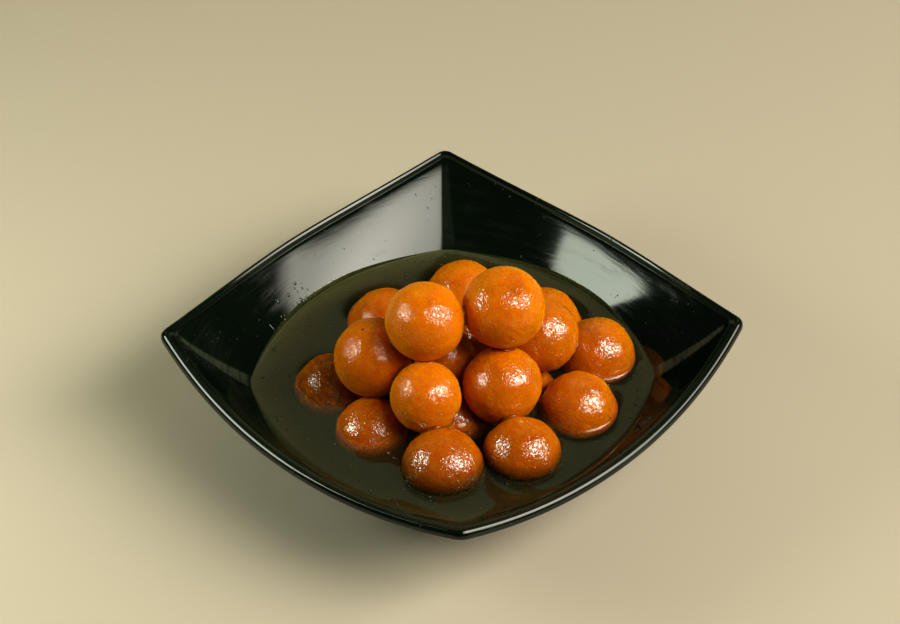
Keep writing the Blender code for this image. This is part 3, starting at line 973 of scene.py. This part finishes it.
def waning(nodes, links, on_light, across, up, raised, full, worn, left):
    """1 within the full distance of a point raised above a light's middle, falling to left at worn."""
    off_middle = nodes.new("ShaderNodeVectorMath")
    off_middle.operation = "MULTIPLY_ADD"
    off_middle.inputs[1].default_value = (across, up, 0.0)
    off_middle.inputs[2].default_value = (-0.5 * across, -0.5 * up - raised, 0.0)
    links.new(on_light, off_middle.inputs[0])
    reach = nodes.new("ShaderNodeVectorMath")
    reach.operation = "LENGTH"
    links.new(off_middle.outputs["Vector"], reach.inputs[0])
    return add_span(nodes, links, reach.outputs["Value"], worn, full, least=left)


def add_area_light(name, distance, bearing, elevation, halves, edge, colour, brightness,
                   roll=0.0, raised=0.0, full=0.0, worn=60.0, left=1.0):
    """A rectangular light that faces the bowl, fading softly towards its edges.

    The angles are in degrees as the bowl sees them. Bearing is clockwise from straight away from the
    camera, halves are the half sizes across and up, and edge is the width that fades. The light also
    wanes with the angle off a point raised above its middle: up to the full angle nothing is lost,
    and from the worn angle on only the share left remains.
    """
    across, up = (2 * distance * math.tan(math.radians(half)) for half in halves)
    data = bpy.data.lights.new(name, "AREA")
    data.shape = "RECTANGLE"
    data.size, data.size_y = across, up
    data.color = colour
    data.energy = brightness * across * up * math.pi
    data.use_nodes = True
    nodes, links = data.node_tree.nodes, data.node_tree.links
    on_light = nodes.new("ShaderNodeNewGeometry").outputs["Parametric"]
    raised, full, worn = (distance * math.tan(math.radians(angle)) for angle in (raised, full, worn))
    strength, *others = edge_fades(nodes, links, on_light, halves, edge)
    for factor in (*others, waning(nodes, links, on_light, across, up, raised, full, worn, left)):
        strength = add_math(nodes, links, "MULTIPLY", strength, factor)
    links.new(strength, nodes["Emission"].inputs["Strength"])
    light = bpy.data.objects.new(name, data)
    b, e = math.radians(bearing), math.radians(elevation)
    way = seen(math.sin(b) * math.cos(e), math.cos(b) * math.cos(e), math.sin(e))
    turned = way.to_track_quat("Z", "Y").to_matrix().to_4x4()
    place = Vector((0.0, 0.0, RIM_SIDE_HEIGHT)) + way * distance
    light.matrix_world = Matrix.Translation(place) @ turned @ Matrix.Rotation(math.radians(roll), 4, "Z")
    bpy.context.scene.collection.objects.link(light)


def add_lights():
    """A softbox to the right, a small round one low on the left, a dim card behind, and hardly more."""
    add_area_light(
        "right_softbox", distance=1.6, bearing=112.0, elevation=41.2, halves=(32.3, 16.9), edge=7.0,
        colour=(1.0, 0.97, 0.84), brightness=11.4, roll=-40.0, raised=5.0, worn=28.0, left=0.5,
    )
    add_area_light(
        "left_softbox", distance=0.5, bearing=-94.2, elevation=28.0, halves=(13.8, 11.0), edge=1.4,
        colour=(0.94, 1.03, 0.85), brightness=8.8, raised=7.2, full=16.5, worn=18.8, left=0.0,
    )
    add_area_light(
        "back_card", distance=1.6, bearing=0.0, elevation=45.0, halves=(38.0, 14.0), edge=9.0,
        colour=(1.0, 1.0, 0.55), brightness=0.42,
    )
    world = bpy.data.worlds.new("studio")
    world.use_nodes = True
    set_finish(world.node_tree.nodes["Background"], Color=(0.85, 1.0, 0.72, 1.0), Strength=0.05)
    bpy.context.scene.world = world
    bpy.context.scene.view_settings.view_transform = "Standard"
    bpy.context.scene.view_settings.look = "Medium High Contrast"


def add_floor():
    """A plain pale floor."""
    mesh = bpy.data.meshes.new("floor")
    r = FLOOR_HALF_SIZE
    mesh.from_pydata([(-r, -r, 0), (r, -r, 0), (r, r, 0), (-r, r, 0)], [], [(0, 1, 2, 3)])
    made, _, _, shader = new_material("pale_floor")
    set_finish(shader, Base_Color=(0.55, 0.475, 0.375, 1.0), Roughness=0.7)
    mesh.materials.append(made)
    floor = bpy.data.objects.new("floor", mesh)
    bpy.context.scene.collection.objects.link(floor)


def settle(piece, slot, *nodes):
    """Rides on the one body and stands for its solids, whose parts it hides. The slot is not used."""
    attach(piece, "root")
    if nodes:
        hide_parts(*nodes)


add_camera()
add_lights()
add_floor()
settle(make_bowl(black_melamine()), "black_melamine", "bowl")
settle(make_syrup(sugar_syrup()), "sugar_syrup", "syrup")
settle(make_collars(syrup_glaze()), "sugar_syrup")
drop_finish = syrup_drop()
settle(make_drops(drop_finish), "sugar_syrup")
settle(make_bubbles(drop_finish), "sugar_syrup")
skin = fried_skin()
for order, name in enumerate(BALLS):
    settle(make_ball(order, skin), "fried_skin", name)
